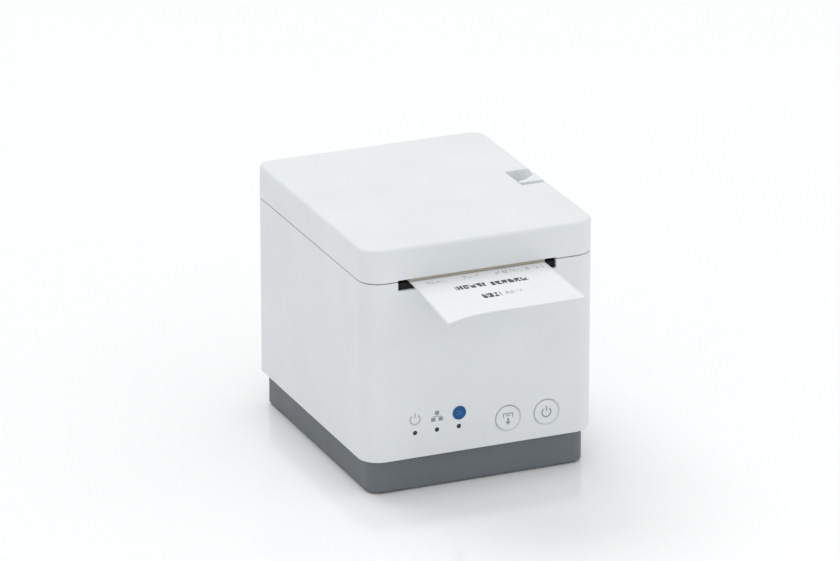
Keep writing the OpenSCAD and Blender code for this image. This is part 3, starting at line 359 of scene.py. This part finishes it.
FINISH = {
    "white_plastic": moulded("white_plastic", WHITE, rough=0.42),
    "grey_plastic": moulded("grey_plastic", GREY, rough=0.5, depth=0.02),
    "light_grey_plastic": moulded("light_grey_plastic", (0.34, 0.36, 0.36), rough=0.5),
    "black_plastic": moulded("black_plastic", (0.016, 0.016, 0.018), rough=0.42, drift=0.15),
    "black_rubber": rubber("black_rubber", (0.02, 0.02, 0.021)),
    "steel": metal("steel", (0.6, 0.61, 0.63), rough=0.24, stretch=(0.05, 1, 1)),
    "sheet_steel": metal("sheet_steel", (0.5, 0.52, 0.54), rough=0.34, stretch=(1, 0.06, 1), grain=2500),
    "motor_can": metal("motor_can", (0.36, 0.38, 0.41), rough=0.38, stretch=(0.2, 1, 1)),
    "aluminium": metal("aluminium", (0.72, 0.73, 0.75), rough=0.42, stretch=(1, 1, 1), grain=6000),
    "capacitor_sleeve": moulded("capacitor_sleeve", (0.012, 0.016, 0.04), rough=0.25, coat=0.4),
    "ceramic": moulded("ceramic", (0.68, 0.66, 0.58), rough=0.2, grain=900, coat=0.6),
    "gear_plastic": moulded("gear_plastic", (0.72, 0.7, 0.62), rough=0.35),
    "brass": metal("brass", (0.72, 0.5, 0.2), rough=0.26, stretch=(0.05, 1, 1)),
    "circuit_board": board_green("circuit_board"),
    "paper": wound_paper("paper", PAPER_WHITE, centre("paper_roll")),
    "cardboard": card("cardboard", (0.36, 0.25, 0.15)),
    "lamp_plastic": moulded("lamp_plastic", (0.03, 0.032, 0.03), rough=0.2, drift=0.1),
    "blue_print": moulded("blue_print", (0.0, 0.085, 0.27), rough=0.65, drift=0.05),
}
RECEIPT_PAPER = printed_paper("receipt_paper")
WEB_PAPER = plain_paper("web_paper")
DARK_GUIDE = moulded("dark_guide", (0.003, 0.003, 0.003), rough=0.85)
# Painted shade: a tan colour for the strip that stands for the receipt in shadow inside the slot
SLOT_SHADE_TAN = moulded("slot_shade_tan", (0.4, 0.36, 0.29), rough=0.6)
LIGHT_PRINT = moulded("light_print", (0.46, 0.47, 0.47), rough=0.5, drift=0.06)
DARK_PRINT = moulded("dark_print", (0.27, 0.3, 0.34), rough=0.5, drift=0.06)
BADGE_PRINT = moulded("badge_print", (0.03, 0.2, 0.42), rough=0.5, drift=0.06)


def dress(piece, material):
    piece.data.materials.clear()
    piece.data.materials.append(material)


SLOT_OF = {part["node"]: part["material_slot"] for part in frame["record"]["subparts"]}
for node_name, slot_name in SLOT_OF.items():
    dress(frame["nodes"][node_name], FINISH[slot_name])
dress(frame["nodes"]["exit_guide"], DARK_GUIDE)


# ---------- pieces ----------

BODY_OF = {node: body for body, nodes in frame["record"]["behaviour"]["bodies"].items() for node in nodes}


def new_piece(name, mesh, body, material):
    piece = bpy.data.objects.new(name, mesh)
    bpy.context.scene.collection.objects.link(piece)
    dress(piece, material)
    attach(piece, body)
    return piece


def from_bmesh(name, work):
    mesh = bpy.data.meshes.new(name)
    work.normal_update()
    work.to_mesh(mesh)
    work.free()
    return mesh


def smooth(mesh):
    for polygon in mesh.polygons:
        polygon.use_smooth = True


def apply_modifiers(piece):
    shaped = bpy.data.meshes.new_from_object(piece.evaluated_get(bpy.context.evaluated_depsgraph_get()))
    piece.modifiers.clear()
    piece.data = shaped


WELD = 0.002 * MM               # points nearer than this are one point
FLAT_TURN = math.radians(0.5)   # faces that turn less than this are one face
LENS_REACH = 2.2 * MM           # edges this near a lens stay sharp
LENS_APART = 2 * MM             # a wider gap than this parts two lenses


def lens_centres():
    """The middles of the lamp lenses, from left to right, found as groups of their own points."""
    pipes = frame["nodes"]["light_pipes"]
    points = sorted((pipes.matrix_world @ v.co).x for v in pipes.data.vertices)
    groups = [[points[0]]]
    for x in points[1:]:
        if x - groups[-1][-1] > LENS_APART:
            groups.append([])
        groups[-1].append(x)
    return [(group[0] + group[-1]) / 2 for group in groups]


def beside_lens(point, centres, z):
    return abs(point.z - z) < LENS_REACH and any(abs(point.x - x) < LENS_REACH for x in centres)


def softened(node, width, angle=34):
    """The CAD node's shape with its sharp edges rounded, as moulded plastic is. It stands for the node."""
    work = bmesh.new()
    work.from_mesh(frame["nodes"][node].data)
    bmesh.ops.remove_doubles(work, verts=work.verts, dist=WELD)
    bmesh.ops.dissolve_limit(work, angle_limit=FLAT_TURN, verts=work.verts, edges=work.edges)
    rounded = work.edges.layers.float.new("bevel_weight_edge")
    centres = lens_centres()
    lens_z = centre("light_pipes").z
    for edge in work.edges:
        sharp = len(edge.link_faces) == 2 and edge.calc_face_angle() > math.radians(angle)
        if sharp and not any(beside_lens(v.co, centres, lens_z) for v in edge.verts):
            edge[rounded] = 1
    mesh = from_bmesh(node + "_moulding", work)
    piece = new_piece(node + "_moulding", mesh, BODY_OF[node], FINISH[SLOT_OF[node]])
    bevel = piece.modifiers.new("soft_edges", "BEVEL")
    bevel.width = width * MM
    bevel.segments = 3
    bevel.limit_method = "WEIGHT"
    bevel.use_clamp_overlap = False
    smooth(mesh)
    weights = piece.modifiers.new("flat_faces", "WEIGHTED_NORMAL")
    weights.mode = "FACE_AREA"
    weights.weight = 100
    weights.keep_sharp = True
    apply_modifiers(piece)
    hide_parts(node)


for node_name, width in {
    "body_shell": 0.3,
    "lid_shell": 0.3,
    "base_tray": 0.35,
    "cover_open_lever": 0.3,
    "feed_button": 0.25,
    "power_button": 0.25,
    "rubber_feet": 0.25,
}.items():
    softened(node_name, width)


# ---------- paper ----------

PAPER_T = 0.1 * MM
SKEW = 3.4 * MM                 # the torn end is this much shorter on the left
DROOP = 0.75 * MM               # droop of the free end on the right
DROOP_LEFT = 1.0 * MM           # more droop towards the left
CORNER_DROOP = 3.2 * MM         # and the left corner curls down by this
CORNER_REACH = 0.14             # share of the width that the curl reaches over
DROOP_BEND = 1.2                # how late along the sheet the droop comes
CURL_BEND = 1.3                 # and the curl of the corner
WAVE = 0.12 * MM                # a slight wave across the width
WAVE_TURN = 2.2 * math.pi
WAVE_START = 0.6
RECEIPT_GRID = (36, 40)         # columns and rows of the sheets
WEB_GRID = (12, 72)
WRAP_STEPS = 10                 # straight pieces in the paper's bend over the platen


def paper_sheet(name, node, point, columns, rows, material):
    """A thin sheet through point(u, v), which gives a place and its place on the paper, in metres."""
    work = bmesh.new()
    layer = work.loops.layers.uv.new("print")
    grid, spots = [], {}
    for j in range(rows + 1):
        line = []
        for i in range(columns + 1):
            place, spot = point(i / columns, j / rows)
            vertex = work.verts.new(place)
            spots[vertex] = spot
            line.append(vertex)
        grid.append(line)
    for j in range(rows):
        for i in range(columns):
            face = work.faces.new((grid[j][i], grid[j + 1][i], grid[j + 1][i + 1], grid[j][i + 1]))
            for loop in face.loops:
                loop[layer].uv = spots[loop.vert]
    mesh = from_bmesh(name, work)
    smooth(mesh)
    piece = new_piece(name, mesh, BODY_OF[node], material)
    thick = piece.modifiers.new("thickness", "SOLIDIFY")
    thick.thickness = PAPER_T
    thick.offset = 0
    apply_modifiers(piece)
    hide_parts(node)
    return piece


def receipt_point(low, high):
    """The drooping, skewed and slightly waved surface of the receipt, for paper_sheet."""
    def point(u, v):
        end_y = low.y + SKEW * (1 - u)
        x = low.x + (high.x - low.x) * u
        y = high.y + (end_y - high.y) * v
        out = max(0.0, (FRONT_Y - y) / (FRONT_Y - end_y))
        drop = (DROOP + DROOP_LEFT * (1 - u)) * out ** DROOP_BEND
        drop += CORNER_DROOP * math.exp(-u / CORNER_REACH) * out ** CURL_BEND
        wave = WAVE * math.sin(WAVE_TURN * u + WAVE_START) * out
        return (x, y, high.z - PAPER_T - drop + wave), (x, FRONT_Y - y)
    return point


def add_receipt():
    low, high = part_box("receipt")
    piece = paper_sheet("receipt_sheet", "receipt", receipt_point(low, high), *RECEIPT_GRID, RECEIPT_PAPER)


def web_path():
    """Points (y, z) from the top of the roll over the platen to the cutter."""
    roll_low, roll_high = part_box("paper_roll")
    roll, platen = centre("paper_roll"), centre("platen_roller")
    web_low, web_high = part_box("paper_web")
    roll_r = (roll_high.z - roll_low.z) / 2 + PAPER_T
    top = web_high.z - PAPER_T
    platen_r = top - platen.z
    away = math.hypot(platen.y - roll.y, platen.z - roll.z)
    lean = math.atan2(platen.z - roll.z, platen.y - roll.y) - math.acos((roll_r - platen_r) / away)
    path = [(web_low.y, top)]
    for i in range(WRAP_STEPS + 1):
        turn = math.pi / 2 + (lean - math.pi / 2) * i / WRAP_STEPS
        path.append((platen.y + platen_r * math.cos(turn), platen.z + platen_r * math.sin(turn)))
    path.append((roll.y + roll_r * math.cos(lean), roll.z + roll_r * math.sin(lean)))
    return path[::-1]


def add_web():
    low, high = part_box("paper_web")
    path = [Vector(point) for point in web_path()]
    lengths = [(b - a).length for a, b in zip(path, path[1:])]
    total = sum(lengths)

    def point(u, v):
        left = v * total
        for a, b, length in zip(path, path[1:], lengths):
            if left <= length + 1e-9:
                break
            left -= length
        spot = a.lerp(b, min(1.0, left / length))
        x = low.x + (high.x - low.x) * u
        return (x, spot.x, spot.y), (x, v * total)

    piece = paper_sheet("paper_web_sheet", "paper_web", point, *WEB_GRID, WEB_PAPER)


add_receipt()
add_web()


# ---------- printed symbols ----------

PRINT_T = 0.03 * MM             # how far a printed shape stands proud
PRINT_SINK = 0.02 * MM          # and how far it reaches into its piece

# The outlines of the symbols below are in millimetres.


def prism(work, loop, y):
    """A flat shape in X-Z, given in metres anticlockwise from the front, standing just proud of y."""
    front = [work.verts.new((x, y - PRINT_T, z)) for x, z in loop]
    back = [work.verts.new((x, y + PRINT_SINK, z)) for x, z in loop]
    work.faces.new(front)
    work.faces.new(back[::-1])
    for i in range(len(loop)):
        j = (i + 1) % len(loop)
        work.faces.new((front[j], front[i], back[i], back[j]))


def arc(x, z, radius, start, end, steps):
    turns = [math.radians(start + (end - start) * i / steps) for i in range(steps + 1)]
    return [(x + radius * math.cos(turn), z + radius * math.sin(turn)) for turn in turns]


def ring_shape(x, z, outer, inner, start, end, steps=36):
    return arc(x, z, outer * MM, start, end, steps) + arc(x, z, inner * MM, end, start, steps)


def bar_shape(x, z, width, height, turn=0.0):
    half = [(side * width / 2, end * height / 2) for side, end in ((-1, -1), (1, -1), (1, 1), (-1, 1))]
    c, s = math.cos(math.radians(turn)), math.sin(math.radians(turn))
    return [(x + (a * c - b * s) * MM, z + (a * s + b * c) * MM) for a, b in half]


def line_shape(x, z, start, end, width):
    (x0, z0), (x1, z1) = start, end
    turn = math.degrees(math.atan2(z1 - z0, x1 - x0))
    length = math.hypot(x1 - x0, z1 - z0)
    return bar_shape(x + (x0 + x1) / 2 * MM, z + (z0 + z1) / 2 * MM, length, width, turn)


def symbol(name, shapes, y, body, material):
    work = bmesh.new()
    for shape in shapes:
        prism(work, shape, y)
    new_piece(name, from_bmesh(name, work), body, material)


def standby_shapes(x, z, size, stroke):
    """A ring open at the top with a short bar in the opening."""
    return [
        ring_shape(x, z, size, size - stroke, 130, 410),
        bar_shape(x, z + size * 0.72 * MM, stroke, size * 0.95),
    ]


def network_shapes(x, z):
    """Three joined boxes, one over two."""
    return [
        bar_shape(x, z + 1.5 * MM, 1.8, 1.6),
        bar_shape(x - 1.6 * MM, z - 1.3 * MM, 1.9, 1.6),
        bar_shape(x + 1.6 * MM, z - 1.3 * MM, 1.9, 1.6),
        bar_shape(x, z + 0.43 * MM, 0.3, 0.7),
        bar_shape(x, z - 0.02 * MM, 3.4, 0.28),
        bar_shape(x - 1.55 * MM, z - 0.36 * MM, 0.3, 0.5),
        bar_shape(x + 1.55 * MM, z - 0.36 * MM, 0.3, 0.5),
    ]


def feed_shapes(x, z):
    """A sheet of paper with an arrow below it."""
    return [
        line_shape(x, z, (-2.2, 2.0), (2.2, 2.0), 0.4),
        line_shape(x, z, (-2.0, 2.0), (-2.0, 0.3), 0.35),
        line_shape(x, z, (2.0, 2.0), (2.0, 0.3), 0.35),
        line_shape(x, z, (-0.9, 1.1), (0.9, 1.1), 0.35),
        bar_shape(x, z - 0.7 * MM, 0.7, 1.7),
        [(x - 1.2 * MM, z - 1.5 * MM), (x, z - 2.8 * MM), (x + 1.2 * MM, z - 1.5 * MM)],
    ]


def wave_shapes(x, z):
    """Two short wave marks."""
    shapes = []
    for side, lift in ((-1, 0.5), (1, -0.5)):
        points = [(-1.3, lift - 0.35 * side), (-0.4, lift + 0.25)]
        points += [(0.5, lift - 0.25), (1.3, lift + 0.35 * side)]
        shapes += [line_shape(x, z, a, b, 0.3) for a, b in zip(points, points[1:])]
    return shapes


def add_symbols():
    badge = centre("round_badge")
    pipes_low, pipes_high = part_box("light_pipes")
    pipe_r = (pipes_high.z - pipes_low.z) / 2
    lamp_x = [pipes_low.x + pipe_r, (pipes_low.x + pipes_high.x) / 2, pipes_high.x - pipe_r]
    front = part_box("round_badge")[0].y
    standby = standby_shapes(lamp_x[0], badge.z, 2.4, 0.6)
    symbol("standby_symbol", standby, FRONT_Y, "casing", LIGHT_PRINT)
    symbol("network_symbol", network_shapes(lamp_x[1], badge.z), FRONT_Y, "casing", DARK_PRINT)
    symbol("badge_symbol", wave_shapes(badge.x, badge.z), front, "casing", BADGE_PRINT)
    feed, power = centre("feed_button"), centre("power_button")
    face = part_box("feed_button")[0].y
    symbol("feed_symbol", feed_shapes(feed.x, feed.z), face, BODY_OF["feed_button"], DARK_PRINT)
    on_power = standby_shapes(power.x, power.z, 2.2, 0.55)
    symbol("power_symbol", on_power, face, BODY_OF["power_button"], DARK_PRINT)


add_symbols()


# ---------- trims, and a strip of painted shade in the slot ---

RECESS_R = 5.7 * MM             # the button recesses in the casing
BUTTON_GAP = 0.6 * MM           # and the gap around a button in its recess
BEZEL_GAP = 0.08 * MM           # between the lining ring and its button
BEZEL_SNUG = 0.02 * MM          # and between it and the casing
BEZEL_SINK = 0.12 * MM          # how far its outer rim lies behind the front face
BEZEL_DEPTH = 0.75 * MM         # depth of its slope
BEZEL_T = 0.5 * MM
# The strip of painted shade in the slot, a tan bar in place of the shaded paper seen under the lid's edge
SHADE_STRIP_CLEAR = 0.12 * MM           # between the strip and the paper
SHADE_STRIP_REACH = 0.39 * MM           # how far the strip reaches up into the lid
SHADE_STRIP_SINK = 0.1 * MM             # how far its face lies behind the lid's front
SHADE_STRIP_DEPTH = 2 * MM
SHADE_STRIP_ROUND = 0.15 * MM


def turned_ring(work, x, z, profile, steps=64):
    """A ring about a line along Y: profile is its closed outline as (radius, y), in metres."""
    rings = []
    for k in range(steps):
        turn = 2 * math.pi * k / steps
        c, s = math.cos(turn), math.sin(turn)
        rings.append([work.verts.new((x + r * c, y, z + r * s)) for r, y in profile])
    for k in range(steps):
        a, b = rings[k], rings[(k + 1) % steps]
        for i in range(len(profile)):
            j = (i + 1) % len(profile)
            work.faces.new((a[i], b[i], b[j], a[j]))
    bmesh.ops.recalc_face_normals(work, faces=work.faces)


def add_bezels():
    """Sloping rings that line the button recesses."""
    inner, outer = RECESS_R - BUTTON_GAP + BEZEL_GAP, RECESS_R - BEZEL_SNUG
    slope_end = FRONT_Y + BEZEL_DEPTH
    back = slope_end + BEZEL_T
    profile = [(outer, FRONT_Y + BEZEL_SINK), (inner, slope_end), (inner, back), (outer, back)]
    for node in ("feed_button", "power_button"):
        middle = centre(node)
        work = bmesh.new()
        turned_ring(work, middle.x, middle.z, profile)
        mesh = from_bmesh(node + "_bezel", work)
        new_piece(node + "_bezel", mesh, "casing", FINISH["white_plastic"])


def add_slot_shade_strip():
    """The narrow tan strip between the lid's lower edge and the paper, along the paper's width: painted
    shade, standing for the paper in shadow inside the slot.
    """
    low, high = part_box("receipt")
    bottom, top = high.z + SHADE_STRIP_CLEAR, SEAM_Z + SHADE_STRIP_REACH
    front, back = FRONT_Y + SHADE_STRIP_SINK, FRONT_Y + SHADE_STRIP_DEPTH
    work = bmesh.new()
    bmesh.ops.create_cube(work, size=1)
    for vertex in work.verts:
        vertex.co = (
            low.x if vertex.co.x < 0 else high.x,
            front if vertex.co.y < 0 else back,
            bottom if vertex.co.z < 0 else top,
        )
    bmesh.ops.bevel(work, geom=work.edges[:], offset=SHADE_STRIP_ROUND, segments=3, affect="EDGES", profile=0.5)
    new_piece("slot_shade_strip", from_bmesh("slot_shade_strip", work), "lid", SLOT_SHADE_TAN)


add_bezels()
# the tan strip of painted shade above the receipt, in the slot
add_slot_shade_strip()


# ---------- springs ----------

WIRE_R = 0.25 * MM
FLAT_TURNS = 0.75               # flat turns at each end of a spring


def coil_path(turns, radius, length, steps=28):
    """A compression spring along +Z whose end turns lie flat."""
    points = []
    total = int(turns * steps)
    for i in range(total + 1):
        share = i / total
        rise = min(1.0, max(0.0, (share * turns - FLAT_TURNS) / (turns - 2 * FLAT_TURNS)))
        turn = 2 * math.pi * share * turns
        points.append(Vector((radius * math.cos(turn), radius * math.sin(turn), rise * length)))
    return points


def tube(work, path, radius, sides=10):
    rings = []
    for i, point in enumerate(path):
        ahead = (path[min(i + 1, len(path) - 1)] - path[max(i - 1, 0)]).normalized()
        side = ahead.orthogonal().normalized()
        if rings:
            side = (last_side - ahead * last_side.dot(ahead)).normalized()
        last_side = side
        up = ahead.cross(side)
        turns = [2 * math.pi * k / sides for k in range(sides)]
        spokes = [(side * math.cos(t) + up * math.sin(t)) * radius for t in turns]
        rings.append([work.verts.new(point + spoke) for spoke in spokes])
    for a, b in zip(rings, rings[1:]):
        for k in range(sides):
            work.faces.new((a[k], a[(k + 1) % sides], b[(k + 1) % sides], b[k]))
    work.faces.new(rings[0][::-1])
    work.faces.new(rings[-1])


def add_springs():
    low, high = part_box("head_springs")
    radius = (high.y - low.y) / 2 - WIRE_R
    length = high.z - low.z - 2 * WIRE_R
    work = bmesh.new()
    for x in (low.x + radius + WIRE_R, high.x - radius - WIRE_R):
        foot = Vector((x, (low.y + high.y) / 2, low.z + WIRE_R))
        tube(work, [foot + point for point in coil_path(5.5, radius, length)], WIRE_R)
    mesh = from_bmesh("head_spring_coils", work)
    smooth(mesh)
    coils = new_piece("head_spring_coils", mesh, BODY_OF["head_springs"], FINISH["steel"])
    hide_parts("head_springs")
    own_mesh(coils)

    low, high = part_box("lever_spring")
    radius = (high.y - low.y) / 2 - WIRE_R
    start = Vector((low.x + WIRE_R, (low.y + high.y) / 2, (low.z + high.z) / 2))
    along = [Vector((p.z, p.x, p.y)) for p in coil_path(6, radius, high.x - low.x - 2 * WIRE_R)]
    work = bmesh.new()
    tube(work, [start + point for point in along], WIRE_R)
    mesh = from_bmesh("lever_spring_coil", work)
    smooth(mesh)
    coil = new_piece("lever_spring_coil", mesh, BODY_OF["lever_spring"], FINISH["steel"])
    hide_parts("lever_spring")


add_springs()


# ---------- floor and light ----------


FLOOR_HALF = 6.0
FLOOR_DROP = 0.05 * MM          # keeps the floor clear of the feet


def add_floor():
    work = bmesh.new()
    corners = [(-FLOOR_HALF, -FLOOR_HALF), (FLOOR_HALF, -FLOOR_HALF),
               (FLOOR_HALF, FLOOR_HALF), (-FLOOR_HALF, FLOOR_HALF)]
    work.faces.new([work.verts.new((x, y, -FLOOR_DROP)) for x, y in corners])
    floor = bpy.data.objects.new("floor", from_bmesh("floor", work))
    bpy.context.scene.collection.objects.link(floor)
    dress(floor, floor_gloss("floor_gloss"))


def add_back_light(toward, strength, spread):
    """A large, high light behind the printer, so soft that its shadow has no edge."""
    data = bpy.data.lights.new("back_light", "SUN")
    data.energy = strength
    data.angle = math.radians(spread)
    light = bpy.data.objects.new("back_light", data)
    bpy.context.scene.collection.objects.link(light)
    light.location = Vector(toward) * 2
    light.rotation_euler = (-Vector(toward)).to_track_quat("-Z", "Y").to_euler()


def add_sky(strength, lean):
    """An even white studio, a little brighter towards lean."""
    world = bpy.data.worlds.new("studio")
    world.use_nodes = True
    bpy.context.scene.world = world
    tree = world.node_tree
    shade = tree.nodes["Background"]
    shade.inputs["Color"].default_value = (0.985, 0.995, 1.0, 1)
    spot = tree.nodes.new("ShaderNodeTexCoord")
    side = tree.nodes.new("ShaderNodeVectorMath")
    side.operation = "DOT_PRODUCT"
    side.inputs[1].default_value = lean
    level = tree.nodes.new("ShaderNodeMath")
    level.operation = "MULTIPLY_ADD"
    level.inputs[1].default_value = strength
    level.inputs[2].default_value = strength
    tree.links.new(spot.outputs["Generated"], side.inputs[0])
    tree.links.new(side.outputs["Value"], level.inputs[0])
    tree.links.new(level.outputs["Value"], shade.inputs["Strength"])


add_camera()
add_floor()
add_sky(0.86, lean=(0.12, -0.14, 0))
add_back_light(toward=(-0.15, 0.5, 0.85), strength=0.78, spread=35)
bpy.context.scene.view_settings.view_transform = "Standard"
